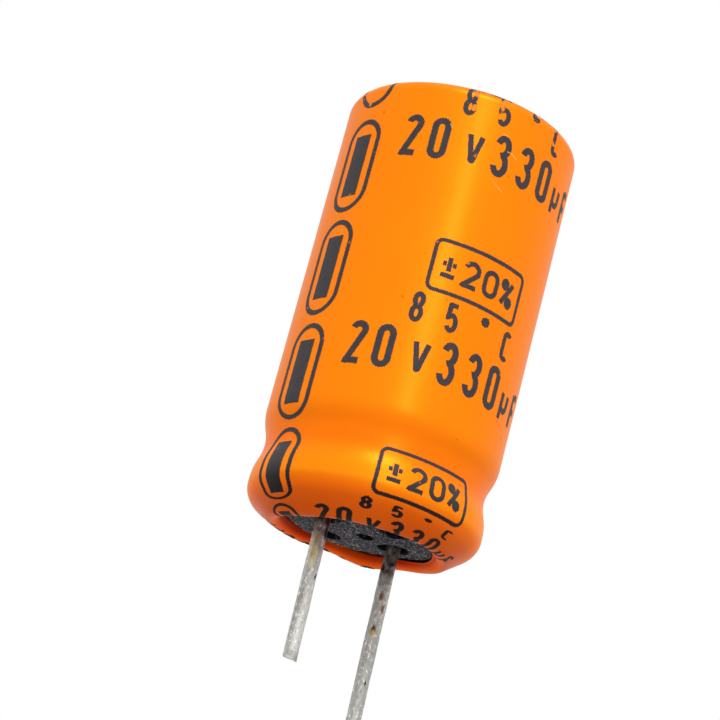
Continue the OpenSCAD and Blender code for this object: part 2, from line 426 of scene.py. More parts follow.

# %% [markdown]
# ## The sleeve
#
# The section is a closed outline: out along the film's outer face and back along its inner one. A
# spin round the axis makes the tube with its true wall thickness, open at both ends, and then
# every point is moved by the unevenness above.
#
# The film is soft PVC with an orange pigment, smooth because it shrank while it was nearly molten.
# The photograph's light is so even that it leaves hardly a highlight on it, so its specular level
# and its coat are kept low. Over bright metal it looks yellow-orange. Where it bridges the groove
# nothing bright is behind it, so it is deeper. The bead is painted a dull red-orange, as painted
# shade on its underside, and inside it, where light only comes by way of the film itself, painted
# shade makes it a deep red.

# %% Scratches in the film and the ink
# Each is a line between two places on the body, in millimetres
SCRATCHES = [
    ((-4.51, -4.80, 22.35), (-4.44, -4.87, 22.19)), ((-1.97, -6.29, 22.72), (-1.73, -6.36, 22.70)),
    ((-1.50, -6.42, 21.82), (-1.24, -6.47, 21.81)), ((-1.16, -6.48, 21.78), (-0.93, -6.52, 21.65)),
    ((-1.91, -6.31, 19.85), (-1.62, -6.39, 19.67)), ((-1.52, -6.41, 19.62), (-1.26, -6.47, 19.47)),
    ((-3.02, -5.86, 20.39), (-3.01, -5.87, 20.35)), ((-5.38, -3.81, 20.58), (-5.34, -3.86, 20.57)),
]
SCRATCH_HALF = 0.02
SCRATCH_STEP = 0.1


def scratched(place, under):
    """Pale scratches laid over a colour, each as a row of dabs."""
    for start, end in SCRATCHES:
        start, end = Vector(start), Vector(end)
        steps = math.ceil((end - start).length / SCRATCH_STEP)
        for k in range(steps + 1):
            dab = spot(place, start.lerp(end, k / steps), SCRATCH_HALF, SCRATCH_HALF)
            under = laid_over(under, "#ffcb78", dab)
    return under


# %% The film's material
# The radius within which the painted shade in the recess inside the bead is darkest
RECESS_END_R = film_poses[-1][0] + 0.1


def film_material():
    """Shrink film, PVC with orange pigment, over bright metal: the metal tints its reflections.

    The bead's underside and the recess inside it are painted darker as shade.
    """
    material, tree, skin, place = new_material(
        "orange_pvc_shrink_film", "#ff850a", IOR=1.5, Specular_IOR_Level=0.015, Coat_Weight=0.02,
        Coat_Roughness=0.16)
    height = add(tree, "SeparateXYZ", out="Z", Vector=place)
    up_body = add(tree, "MapRange", Value=height, From_Max=CAN_TOP * MM)
    # The stops low on the bead, dull red-orange rising to orange, darken its underside as painted
    # shade.
    outside_with_painted_bead_shade = add(tree, "ValToRGB", Fac=up_body, stops=[
        (0.0, "#c8500e"), (0.026, "#d85a0c"), (0.044, "#f8700a"), (0.068, "#ff8c0d"),
        (0.1, "#ff8a0c"), (0.15, "#ff760a"), (0.235, "#ff840b")])
    flat = add(tree, "Mapping", Vector=place, Scale=(1, 1, 0))
    # Painted shade in the recess inside the bead: a deeper red towards the axis and higher up.
    in_recess = spot(flat, (0, 0, 0), RECESS_END_R, bead_low[0] - 0.05 - RECESS_END_R)
    depth = add(tree, "MapRange", Value=height, From_Min=0.1 * MM, From_Max=0.7 * MM, To_Min=0.35)
    shade = add(tree, "Math", operation="MULTIPLY", In0=in_recess, In1=depth)
    painted_recess_shade = add(tree, "ValToRGB", Fac=shade, stops=[
        (0.0, "#f06008"), (0.4, "#dc4602"), (0.75, "#b02404"), (1.0, "#8c1600")])
    within_bead = spot(flat, (0, 0, 0), bead_low[0] - 0.3, 0.35)
    colour = laid_over(outside_with_painted_bead_shade, painted_recess_shade, within_bead)
    cloud = add(tree, "TexNoise", Vector=place, Scale=per(4.0), Detail=3.0)
    bruise = add(tree, "TexNoise", Vector=place, Scale=per(2.2), Detail=4.0)
    stretched = add(tree, "Mapping", Vector=place, Scale=(1, 1, 0.12))
    lines = add(tree, "TexNoise", Vector=stretched, Scale=per(0.7), Detail=2.0)
    specks = add(tree, "TexNoise", Vector=place, Scale=per(0.45), Detail=1.0)
    for tone, pattern, low, high, share in (
            ("#ff9612", cloud, 0.42, 0.72, 0.102), ("#f46c04", bruise, 0.55, 0.75, 0.098),
            ("#ec6c04", lines, 0.56, 0.8, 0.065), ("#5a2c0c", specks, 0.765, 0.8, 0.323)):
        colour = laid_over(colour, tone, pattern, low, high, share)
    grain = add(tree, "TexNoise", Vector=place, Scale=per(0.9), Detail=4.0)
    finish(skin, scratched(place, colour), grain, 0.012,
           Metallic=add(tree, "MapRange", Value=within_bead, To_Min=0.32, To_Max=0.0),
           Roughness=add(tree, "MapRange", Value=cloud, To_Min=0.3, To_Max=0.42))
    return material


# %% Spin the sleeve
AROUND = 224
outline = [beside(pose, FILM / 2) for pose in film_poses]
outline += [beside(pose, -FILM / 2) for pose in reversed(film_poses)]
sleeve = spun(outline, steps=AROUND, closed=True)
for vert in sleeve.verts:
    vert.co = shrunk(vert.co)
finished("shrink_sleeve", sleeve, film_material(), replaces=("sleeve",))

# %% [markdown]
# ## The print
#
# The ink is a thin layer on the film. Each sign is drawn flat first, with a pen of even width, as
# the printer's film was cut: a stroke is a chain of points, extruded sideways into a ribbon. A
# second step gives the ribbon its thickness and wraps it on the film: across becomes the angle
# round the body, and down becomes the length along the film's section, so that the print follows
# the groove, the rim and the bead.
#
# The rating is a plain one, 20 V and 330 microfarads within 20 % at 85 degrees. It stands twice
# round the body, and the two were not printed in line. The long marks stand over the cathode's
# lead.

# %% Pen strokes
PEN = 0.36
FINE_PEN = 0.27
INK = 0.012
STROKE_STEP = 0.055
MESH_TEETH = 0.026


def arc(cx, cy, rx, ry, start, end):
    """Points on an arc, from a start to an end angle in degrees."""
    steps = max(2, math.ceil(math.radians(abs(end - start)) * max(rx, ry) / STROKE_STEP))
    angles = [math.radians(start + (end - start) * k / steps) for k in range(steps + 1)]
    return [(cx + rx * math.cos(a), cy + ry * math.sin(a)) for a in angles]


def drawn(points, closed=False):
    """The same chain with points at most a stroke step apart."""
    chain = points + points[:1] if closed else points
    fine = []
    for (x0, y0), (x1, y1) in zip(chain, chain[1:]):
        steps = max(1, math.ceil(math.hypot(x1 - x0, y1 - y0) / STROKE_STEP))
        fine += [(x0 + (x1 - x0) * k / steps, y0 + (y1 - y0) * k / steps) for k in range(steps)]
    return fine if closed else fine + [chain[-1]]


def stroke(bm, points, closed=False, pen=PEN):
    """Draws a chain of points with the pen: one edge chain, extruded, its sides set apart."""
    fine = [Vector((x, y, 0)) for x, y in drawn(points, closed)]
    centre = [bm.verts.new(p) for p in fine]
    last = len(fine) - 1
    pairs = list(zip(centre, centre[1:] + centre[:1])) if closed else list(zip(centre, centre[1:]))
    edges = [bm.edges.new(pair) for pair in pairs]
    made = bmesh.ops.extrude_edge_only(bm, edges=edges)["geom"]
    other = [v for v in made if isinstance(v, bmesh.types.BMVert)]
    other.sort(key=lambda v: fine.index(v.co))
    for i, point in enumerate(fine):
        before = fine[i - 1] if closed or i > 0 else None
        after = fine[(i + 1) % len(fine)] if closed or i < last else None
        ways = [(b - a).normalized() for a, b in ((before, point), (point, after))
                if a is not None and b is not None]
        mean = (ways[0] + ways[-1]).normalized()
        tooth = MESH_TEETH if i % 2 else -MESH_TEETH
        side = Vector((-mean.y, mean.x, 0)) * (pen / 2 + tooth) / max(0.5, mean.dot(ways[0]))
        centre[i].co = point + side
        other[i].co = point - side


# %% Signs, each in a cell w wide and h high with the pen inside it
def two(w, h):
    r = w / 2
    return [(arc(r, h - r, r, r, 165, -28) + [(0, 0), (w, 0)], False)]


def three(w, h):
    top, low = 0.235 * h, 0.265 * h
    upper = arc(w / 2, h - top, 0.46 * w, top, 165, -75)
    return [(upper + arc(w / 2, low, w / 2, low, 75, -165), False)]


def five(w, h):
    r = w / 2
    bowl = arc(r, 0.3 * h, r, 0.3 * h, 128, -150)
    return [([(0.92 * w, h), (0.08 * w, h), (0.0, 0.5 * h)] + bowl[2:], False)]


def zero(w, h):
    r = w / 2
    return [(arc(r, h - r, r, r, 0, 180) + arc(r, r, r, r, 180, 360), True)]


def eight(w, h):
    top, low = 0.24 * h, 0.27 * h
    upper = arc(w / 2, h - top, 0.44 * w, top, -70, 250)
    lower = arc(w / 2, low, w / 2, low, 90, 450)
    gap = PEN / 2
    return [([(x, y + gap * 0.4) for x, y in upper], False), (lower[:-1], True)]


def volt(w, h):
    return [([(0, h), (0.44 * w, 0), (0.56 * w, 0), (w, h)], False)]


def farad(w, h):
    pen = PEN / 2
    return [([(0, 0), (0, h)], False), ([(pen, h - 0.01), (w, h - 0.01)], False),
            ([(pen, 0.52 * h), (0.8 * w, 0.52 * h)], False)]


def micro(w, h):
    bowl = arc(w / 2, 0.26 * h, w / 2 - 0.02, 0.26 * h, 205, 360)
    return [([(0, -0.42 * h), (0, 0.78 * h)], False), (bowl[1:] + [(w, 0.78 * h)], False)]


def plus_minus(w, h):
    pen = PEN / 2
    mid, low = 0.62 * h, 0.12 * h
    return [([(w / 2, mid - 0.3 * h), (w / 2, mid + 0.3 * h)], False),
            ([(0, mid), (w / 2 - pen, mid)], False), ([(w / 2 + pen, mid), (w, mid)], False),
            ([(0, low), (w, low)], False)]


def per_cent(w, h):
    r = 0.2 * w
    return [(arc(r, h - 1.3 * r, r, 1.3 * r, 0, 360)[:-1], True),
            (arc(w - r, 1.3 * r, r, 1.3 * r, 0, 360)[:-1], True),
            ([(0.06 * w, 0.02 * h), (0.94 * w, 0.98 * h)], False)]


def degree(w, h):
    r = 0.3 * w
    return [(arc(r, h - r, r, r, 0, 360)[:-1], True)]


def celsius(w, h):
    r = w / 2
    return [(arc(r, h - r, r, r, 30, 180) + arc(r, r, r, r, 180, 330), False)]


# %% [markdown]
# The print was laid out flat in millimetres: across from the middle of the rating, and down from
# the closed end. Places across are angles on the body, because that is how they were read, and the
# body's radius turns them to lengths.

# %% Lay out the print
PRINT_R = film_r + FILM / 2
STRIP_ANGLE = -180.0
ROW_PITCH = 12.45
MARK_PITCH = 6.23
BIG = (1.05, 2.49)
SMALL = (0.75, 1.7)
BIG_TOP = 2.25
SMALL_TOP = 0.1
# Signs cut by the closed end's edge were dragged along it, and the back was printed higher up
EDGE_DRAG = 0.35
FIRST_MARK_RISE = 0.3
FIRST_BAR_RISE = 0.6
BACK_RISE = 0.35
# The frame's top, height, sides round the body, corner and pen, and the signs in it
FRAME_TOP = 9.25
FRAME_HEIGHT = 2.9
FRAME_LEFT, FRAME_RIGHT = -1, 50.5
FRAME_CORNER = 0.35
FRAME_PEN = 0.22
FRAMED = (1.05, 1.6)
FRAMED_TOP = FRAME_TOP + 0.65
# A polarity mark's half width, half height and pen, and the bar in it
MARK_MIDDLE = 5.2
MARK_HALF_W, MARK_HALF_H = 1.22, 2.72
MARK_PEN = 0.28
MARK_BAR = (1.23, 3.75)


def across(degrees):
    return math.radians(degrees) * PRINT_R


BIG_ROW = [(-30, two), (-16.5, zero), (1, volt), (14.6, three), (28.8, three), (42.6, zero),
           (56.5, micro), (70.0, farad)]
# Width, height, rise over the row's foot and pen of the signs that differ from the row's others
ODD_SIGNS = {volt: (1.0, 1.8, 0.25, 0.3), micro: (0.95, 1.5, 0.4, 0.28),
             farad: (0.98, 2.15, 0.0, 0.32)}
SMALL_ROW = [(-4.7, eight), (12.5, five), (30.7, degree), (46.4, celsius)]
FRAME_ROW = [(3.6, plus_minus), (15.2, two), (26.2, zero), (36.8, per_cent)]


# %% Draw the rating and the marks
def sign(bm, shape, x, top, w, h, pen=PEN):
    """One sign with its top left corner at x across and top down."""
    for points, closed in shape(w - pen, h - pen):
        stroke(bm, [(x + pen / 2 + px, -top - h + pen / 2 + py) for px, py in points], closed, pen)


def round_box(x0, y0, x1, y1, r):
    """The middle line of a box with round corners."""
    return (arc(x1 - r, y1 - r, r, r, 0, 90) + arc(x0 + r, y1 - r, r, r, 90, 180)
            + arc(x0 + r, y0 + r, r, r, 180, 270) + arc(x1 - r, y0 + r, r, r, 270, 360))


ROWS = [(BIG_ROW, BIG_TOP, BIG, PEN), (SMALL_ROW, SMALL_TOP, SMALL, FINE_PEN),
        (FRAME_ROW, FRAMED_TOP, FRAMED, FINE_PEN)]


def rating(bm, down):
    """The three rows of the rating, with the top of the pattern at a distance down."""
    for row, top, size, row_pen in ROWS:
        for angle, shape in row:
            w, h, raised, pen = ODD_SIGNS.get(shape, (*size, 0.0, row_pen))
            sign(bm, shape, across(angle), down + top + size[1] - h - raised, w, h, pen)
    top = -down - FRAME_TOP
    box = round_box(across(FRAME_LEFT) + FRAME_PEN / 2, top - FRAME_HEIGHT, across(FRAME_RIGHT),
                    top, FRAME_CORNER)
    stroke(bm, box, True, pen=FRAME_PEN)


def polarity_mark(bm, down):
    """A long ring with a solid bar in it, with its middle at a distance down."""
    x = across(STRIP_ANGLE - FRONT)
    r, straight = MARK_HALF_W, MARK_HALF_H - MARK_HALF_W
    ring = arc(x, -down + straight, r, r, 0, 180) + arc(x, -down - straight, r, r, 180, 360)
    stroke(bm, ring, True, pen=MARK_PEN)
    bar = bmesh.ops.create_grid(bm, x_segments=8, y_segments=24, size=0.5)["verts"]
    bmesh.ops.scale(bm, vec=(*MARK_BAR, 1), verts=bar)
    bar_rise = FIRST_BAR_RISE if down < 0 else 0.0
    bmesh.ops.translate(bm, vec=(x, bar_rise - down, 0), verts=bar)


# %% [markdown]
# Wrapping comes last. The film shrank along the body too where nothing held it, so the print is
# squeezed towards the bead. The edges of the ink are slightly ragged, as they are on printed film.

# %% Wrap the print on the film
RAGGED = 0.014
PRINT_LIFT = 0.002
PRINT_MARGIN = 0.02
# From how far down the flat film, and to what share of its length, the film shrank
SHRINKS = [(0.0, 1.0), (19.0, 0.88), (25.0, 0.3), (27.1, 0.42), (60.0, 0.42)]


def laid_down(down):
    """The length along the film's section of a place that was printed so far down the flat film."""
    laid = edge_length - EDGE_R + min(down, 0.0)
    for (start, share), (end, _) in zip(SHRINKS, SHRINKS[1:]):
        laid += share * max(0.0, min(down, end) - start)
    return laid


def section_at(length):
    """The pose of the film's section at a length along it."""
    i = next((k for k, x in enumerate(film_lengths) if x > length), len(film_lengths) - 1)
    part = (length - film_lengths[i - 1]) / (film_lengths[i] - film_lengths[i - 1])
    a, b = film_poses[i - 1], film_poses[i]
    return [p + (q - p) * part for p, q in zip(a, b)]


def wrapped(flat, turned):
    """A point of the flat print on the film, with the whole print turned round the body."""
    pose = section_at(laid_down(-flat.y))
    r, z = beside(pose, FILM / 2 + PRINT_LIFT + flat.z)
    angle = math.radians(FRONT + turned) + flat.x / PRINT_R
    return shrunk(Vector((r * math.cos(angle), r * math.sin(angle), z)))


def print_limits():
    """How far up and down the flat print still lies on film."""
    down = SHRINKS[1][0]
    while laid_down(down) < film_length - PRINT_MARGIN:
        down += 0.01
    return PRINT_MARGIN - (edge_length - EDGE_R), down


print_top, print_end = print_limits()
print("print runs from", round(print_top, 2), "to", round(print_end, 2), "mm down")


# %% Make a piece of print
def turn_outwards(ink):
    """Turns each stroke's skin the right way out while it is flat, by the way its top looks."""
    bmesh.ops.recalc_face_normals(ink, faces=ink.faces)
    left = set(ink.faces)
    while left:
        skin, front = [], [left.pop()]
        while front:
            face = front.pop()
            skin.append(face)
            near = {other for edge in face.edges for other in edge.link_faces} & left
            left -= near
            front += near
        top = [face for face in skin if face.calc_center_median().z > 0.9 * INK]
        if sum(face.normal.z * face.calc_area() for face in top) < 0:
            bmesh.ops.reverse_faces(ink, faces=skin)


def ink_piece(name, draw, downs, material, turned=0):
    """Draws signs flat, trims them at the film's ends, thickens them and wraps them on the film."""
    random.seed(11)
    ink = bmesh.new()
    for down in downs:
        draw(ink, down)
    for limit, sign_of in ((-print_top, 1), (-print_end, -1)):
        geometry = ink.verts[:] + ink.edges[:] + ink.faces[:]
        bmesh.ops.bisect_plane(ink, geom=geometry, plane_co=(0, limit, 0),
                               plane_no=(0, sign_of, 0), clear_outer=True)
    for vert in ink.verts:
        if vert.is_boundary:
            vert.co.x += random.uniform(-RAGGED, RAGGED)
            vert.co.y += random.uniform(-RAGGED, RAGGED)
    bmesh.ops.recalc_face_normals(ink, faces=ink.faces)
    thick = bmesh.ops.extrude_face_region(ink, geom=ink.faces[:])["geom"]
    upper = [v for v in thick if isinstance(v, bmesh.types.BMVert)]
    bmesh.ops.translate(ink, vec=(0, 0, INK), verts=upper)
    turn_outwards(ink)
    for vert in ink.verts:
        vert.co = wrapped(vert.co, turned)
    return finished(name, ink, material, smooth=False)


# %% The ink's material
def ink_material():
    """Screen ink, a thin dark slate coat: matt, worn through in places near the closed end, and
    painted near black on the bead as shade.
    """
    material, tree, skin, place = new_material(
        "black_screen_ink", "#3c3a3c", Roughness=0.5, IOR=1.5, Specular_IOR_Level=0.12)
    height = add(tree, "SeparateXYZ", out="Z", Vector=place)
    thin = add(tree, "TexNoise", Vector=place, Scale=per(0.35), Detail=3.0)
    brown = laid_over("#37373c", "#543e34", thin, 0.4, 0.7, 0.434)
    near_top = add(tree, "MapRange", Value=height, From_Min=22.5 * MM, From_Max=24.8 * MM,
                   To_Max=0.22)
    rubbed = add(tree, "TexNoise", Vector=place, Scale=per(0.5), Detail=4.0)
    wear = add(tree, "Math", operation="ADD", In0=rubbed, In1=near_top)
    worn = laid_over(brown, "#f08418", wear, 0.7, 0.76)
    # The ink low on the bead is painted near black, as painted shade.
    ink_with_painted_bead_shade = laid_over(worn, "#150c0e", height, 2.2 * MM, 0.8 * MM)
    finish(skin, scratched(place, ink_with_painted_bead_shade), thin, 0.01)
    return material


# %% Print pieces
ink_finish = ink_material()
rows_down = [EDGE_DRAG - ROW_PITCH] + [k * ROW_PITCH for k in range(3)]
back_rows_down = [k * ROW_PITCH - BACK_RISE for k in range(-1, 3)]
marks_down = [MARK_MIDDLE - MARK_PITCH - FIRST_MARK_RISE]
marks_down += [MARK_MIDDLE + k * MARK_PITCH for k in range(5)]
ink_piece("rating_print", rating, rows_down, ink_finish)
ink_piece("rating_print_behind", rating, back_rows_down, ink_finish, turned=180)
ink_piece("polarity_print", polarity_mark, marks_down, ink_finish)

# %% [markdown]
# ## The bung
#
# The bung is moulded rubber filled with carbon black, so it is matt and grey-black, with a fine
# grain from the mould. The rolled groove squeezes it, and its face bulges down inside the bead, a
# little lower than in the CAD model and lowest along one side, where the film is pulled off it.
# Its section is spun. The two holes with their worn mouths and the three blind hollows that the
# mould left are cut out with a Boolean, as a drill would. All five are painted near black, as
# painted shade in the hollows. The material finds them by how far a point is from each one's axis.

# %% The bung's section
CAN_WALL = 0.35
SHOULDER_R = 1.8
CURL_R = 0.725
CURL_TURN = 130
BUNG_TOP = 6.3
SWELL_R = 4.84
SWELL_Z = 0.945
BUNG_DOME = 0.5
# Where the face's edge sags, in degrees from the front and to either side, and by how much
SAG_ANGLE = 92
SAG_WIDTH = 62
SAG_DEPTH = 0.4


def bung_face(r):
    """The height of the bung's outer face at a distance from the axis. Its middle swells out."""
    return SWELL_Z - BUNG_DOME * (1 - (r / SWELL_R) ** 2)


def sag(x, y):
    """How much lower the face hangs near its edge, on the side where the film is pulled off it."""
    turned = (math.degrees(math.atan2(y, x)) - FRONT - SAG_ANGLE + 180) % 360 - 180
    return SAG_DEPTH * hump(0, SAG_WIDTH, turned) * smooth_step(2.4, 4.6, math.hypot(x, y))


groove_in = math.degrees(math.acos(1 - GROOVE_DEPTH / GROOVE_RADII))
groove_out = math.degrees(math.acos(1 - (GROOVE_DEPTH - RIM_INSET) / GROOVE_RADII))
can_moves = [
    (BUNG_TOP - groove_z - above, 0),
    (SHOULDER_R, -groove_in),
    (GROOVE_RADII - SHOULDER_R, groove_in + groove_out),
    (SHOULDER_R, -groove_out),
    (GROOVE_RISE - below, 0),
    (CURL_R, -CURL_TURN),
]
can_poses, _ = bend_path([CAN_R - CAN_WALL / 2, BUNG_TOP, -math.pi / 2], can_moves, 0.5, 8)
bung_side = [beside(pose, -CAN_WALL / 2 - FILM_GAP) for pose in can_poses]
bung_outline = [(0, BUNG_TOP)] + bung_side + [(SWELL_R + 0.06, SWELL_Z + 0.045)]
bung_outline += [(SWELL_R * k / 16, bung_face(SWELL_R * k / 16)) for k in range(16, -1, -1)]
print("bung from", round(bung_face(0), 2), "to", BUNG_TOP, "mm over the board")

# %% The bung's material
LEAD_X = 2.5
WELL_R = 0.9
BLIND_R = 0.87
DIMPLE_R = 0.5
LEAD_WELLS = [((-LEAD_X, 0), WELL_R), ((LEAD_X, 0), WELL_R)]
BLIND_WELLS = [((-0.25, 2.58), BLIND_R), ((0.54, -2.42), BLIND_R), ((0.38, -0.12), DIMPLE_R)]
WELLS = LEAD_WELLS + BLIND_WELLS
# How far in and out the edge of the painted shade in the wells wanders
WELL_RAG = 0.44


def bung_material():
    """Moulded rubber, matt grey-black: a fine grain that catches pale dust, and wells painted dark
    as shade.
    """
    material, tree, skin, place = new_material(
        "moulded_black_rubber", "#333236", Roughness=0.72, IOR=1.5, Specular_IOR_Level=0.1)
    grain = add(tree, "TexNoise", Vector=place, Scale=per(0.16), Detail=3.0)
    face = add(tree, "ValToRGB", Fac=grain, stops=[
        (0.36, "#101013"), (0.48, "#2b2b31"), (0.6, "#47474f"), (0.76, "#a8a6a8")])
    patch = add(tree, "TexNoise", Vector=place, Scale=per(1.3), Detail=2.0)
    colour = laid_over(face, "#34343a", patch, 0.45, 0.75, 0.162)
    flat = add(tree, "Mapping", Vector=place, Scale=(1, 1, 0))
    edge = add(tree, "TexNoise", Vector=place, Scale=per(0.3), Detail=2.0)
    # The wells are painted near black: painted shade in the hollows.
    dark = 0.0
    for middle, radius in WELLS:
        painted_well_shade = spot(flat, (*middle, 0), radius - 0.04 + WELL_RAG / 2, 0.06, edge, WELL_RAG)
        dark = add(tree, "Math", operation="MAXIMUM", In0=dark, In1=painted_well_shade)
    finish(skin, laid_over(colour, "#010101", dark), grain, 0.03)
    return material


# %% [markdown]
# ## Dust
#
# Lint and grit cling to rubber. Each thread of lint is a curve with a hair's thickness that
# wanders over the bung's dome, and each grain of grit is a small flattened ball. The seed is
# fixed, so the dust lies the same way on each run. Most of the grit lies along the bung's edge,
# where a finger can't reach it.

# %% Lint
# Dust lies within this radius, where the film doesn't cover the bung
OPEN_R = film_poses[-1][0] - 0.08
LINT_COUNT = 34
LINT_R = 0.011
LINT_STEP = 0.065


def off_the_wells(x, y):
    """Whether a place is clear of the leads' wells and of the film."""
    return (all(math.hypot(x - wx, y - wy) > radius + 0.05 for (wx, wy), radius in WELLS)
            and math.hypot(x, y) < OPEN_R)


def lint_path():
    """A thread's points: a short wander whose heading drifts."""
    x, y = random.uniform(-4, 4), random.uniform(-4, 4)
    heading, bend = random.uniform(0, math.tau), random.uniform(-0.5, 0.5)
    lift = random.uniform(0.0, 0.1)
    points = []
    for step in range(random.randint(6, 14)):
        if not off_the_wells(x, y):
            break
        face = bung_face(math.hypot(x, y)) - sag(x, y)
        points.append((x, y, face - LINT_R - lift * abs(math.sin(step / 3))))
        heading += bend + random.uniform(-0.35, 0.35)
        x, y = x + LINT_STEP * math.cos(heading), y + LINT_STEP * math.sin(heading)
    return points


def lay_lint(material):
    random.seed(5)
    curve = bpy.data.curves.new("lint", "CURVE")
    curve.dimensions = "3D"
    curve.bevel_depth = LINT_R
    curve.bevel_resolution = 0
    curve.use_fill_caps = True
    count = 0
    while count < LINT_COUNT:
        points = lint_path()
        if len(points) < 4:
            continue
        spline = curve.splines.new("POLY")
        spline.points.add(len(points) - 1)
        for point, place in zip(spline.points, points):
            point.co = (*place, 1)
        count += 1
    thread = placed("lint_curve", curve)
    lint = bmesh.new()
    lint.from_mesh(thread.to_mesh())
    bpy.data.objects.remove(thread)
    bmesh.ops.remove_doubles(lint, verts=lint.verts, dist=0.0005)
    finished("lint", lint, material)


# %% Grit
GRIT_COUNT = 720
GRIT_R = (0.014, 0.048)


def scatter_grit(material):
    """Small flattened balls, more of them towards the bung's edge."""
    random.seed(9)
    grit = bmesh.new()
    count = 0
    while count < GRIT_COUNT:
        r = OPEN_R * (1 - random.random() ** 4 * 0.9)
        angle = random.uniform(0, math.tau)
        x, y = r * math.cos(angle), r * math.sin(angle)
        if not off_the_wells(x, y):
            continue
        radius = random.uniform(*GRIT_R)
        grain = bmesh.ops.create_icosphere(grit, subdivisions=1, radius=radius)["verts"]
        bmesh.ops.scale(grit, vec=(1, random.uniform(0.6, 1), 0.5), verts=grain)
        bmesh.ops.translate(grit, vec=(x, y, bung_face(r) - sag(x, y)), verts=grain)
        count += 1
    finished("grit", grit, material, smooth=False)


def dust_material(name, colour):
    """Textile and paper dust: dull, uneven in tone."""
    material, tree, skin, place = new_material(name, colour, Roughness=0.9,
                                                     Specular_IOR_Level=0.1)
    tone = add(tree, "TexNoise", Vector=place, Scale=per(0.4))
    uneven = add(tree, "ValToRGB", Fac=tone, stops=[(0.35, "#6f6b66"), (0.6, colour)])
    fill(skin, {"Base_Color": uneven})
    return material


# %% Spin the bung and cut its holes
WELL_TOP = 1.9
HOLE_R = 0.76


def cutters():
    """The two holes, each with a worn, wider mouth, and the three blind hollows."""
    mouth = bung_face(LEAD_X)
    hole = [(0, mouth - 0.5), (WELL_R + 0.1, mouth - 0.5), (WELL_R + 0.01, mouth - 0.02),
            (WELL_R - 0.03, mouth + 0.05), (HOLE_R + 0.02, mouth + 0.25), (HOLE_R, WELL_TOP),
            (HOLE_R, BUNG_TOP + 0.5), (0, BUNG_TOP + 0.5)]
    tools = [spun(hole, middle, 48) for middle, _ in LEAD_WELLS]
    for middle, radius in BLIND_WELLS:
        mouth = bung_face(math.hypot(*middle))
        hollow = [(0, mouth - 0.4), (radius + 0.1, mouth - 0.4), (radius, mouth - 0.02),
                  (radius - 0.05, mouth + 0.06), (radius * 0.75, mouth + radius * 0.8),
                  (0, mouth + radius * 0.85)]
        tools.append(spun(hollow, middle, 48))
    return tools


def cut_out(body, tools):
    """The body less the tools, as a bmesh. A Boolean modifier does each cut."""
    meshes = []
    for bm in [body] + tools:
        mesh = bpy.data.meshes.new("rough")
        bm.to_mesh(mesh)
        bm.free()
        meshes.append(placed("rough", mesh))
    for tool in meshes[1:]:
        cut = meshes[0].modifiers.new("cut", "BOOLEAN")
        cut.operation = "DIFFERENCE"
        cut.solver = "EXACT"
        cut.object = tool
    whole = bmesh.new()
    whole.from_object(meshes[0], bpy.context.evaluated_depsgraph_get())
    for rough in meshes:
        bpy.data.objects.remove(rough)
    return whole


bung = cut_out(spun(bung_outline), cutters())
bmesh.ops.dissolve_degenerate(bung, dist=0.001, edges=bung.edges)
for vert in bung.verts:
    vert.co.z -= sag(vert.co.x, vert.co.y) * smooth_step(1.5, 1.1, vert.co.z)
finished("rubber_bung", bung, bung_material(), replaces=("seal",), smooth=False)
lay_lint(dust_material("cotton_lint", "#b9b6ae"))
scatter_grit(dust_material("grey_grit", "#b4aaa2"))

# %% [markdown]
# ## The leads
#
# The leads are tinned copper-clad steel wire. They have been soldered into a board and pulled out
# again, so the tin is lumpy, dull and stained: brown flux at the roots, burnt specks along the
# wire. Each one starts as a section from its weld to its cut end, spun round the wire's own axis
# in steps of a tenth of a millimetre, which leaves rings enough for the lumps.
#
# The short lead was cut with side cutters, which pinch the wire to a ridge and leave a burr. The
# long one leaves the photograph before its end, so it ends in a plain cut.

# %% Draw a lead
WELD_Z = 1.9
WELD_R = 0.675
WELD_LENGTH = 0.35
ROOT_R = 0.45
ROOT_Z = 0.5
LEAD_R = 0.4
LEAD_STEP = 0.08
LUMPS = 0.022
SPIN_STEPS = 36


def lead_section(end):
    """The lead's half section, from the middle of the weld down to the middle of the cut."""
    section = [(0.0, WELD_Z), (WELD_R, WELD_Z), (ROOT_R, WELD_Z - WELD_LENGTH),
               (ROOT_R - 0.02, 0.8), (LEAD_R, ROOT_Z)]
    rings = math.ceil((ROOT_Z - end - 0.05) / LEAD_STEP)
    section += [(LEAD_R, ROOT_Z - (ROOT_Z - end - 0.05) * k / rings) for k in range(1, rings + 1)]
    return section + [(LEAD_R - 0.05, end), (LEAD_R * 0.5, end), (0.0, end)]


def lumpy(point, end, phase):
    """Moves a point of the even wire in or out, as the tin lies. The weld stays round."""
    below = smooth_step(ROOT_Z + 0.3, 0, point.z)
    side = Vector((point.x, point.y, 0))
    fine = noise.noise(Vector((point.x, point.y, point.z * 0.7)) * 4.5 + phase)
    coarse = noise.noise(Vector((point.x, point.y, point.z * 0.35)) * 1.6 - phase)
    return point + side * below * (fine * 0.6 + coarse) * LUMPS / LEAD_R


def pinch(point, end, cut_angle):
    """Presses the last part of a cut wire to a ridge, and drags out a burr at one side."""
    part = smooth_step(end + 0.42, end, point.z)
    across_cut = Vector((math.cos(cut_angle), math.sin(cut_angle), 0))
    along_cut = Vector((-across_cut.y, across_cut.x, 0))
    depth = point.dot(across_cut)
    width = point.dot(along_cut)
    moved = point + part * (along_cut * width * 0.08 - across_cut * depth * 0.62)
    burr = smooth_step(0.2, 0.4, width) * smooth_step(end + 0.1, end, point.z)
    return moved + Vector((0, 0, -0.07 * burr)) + along_cut * 0.03 * burr


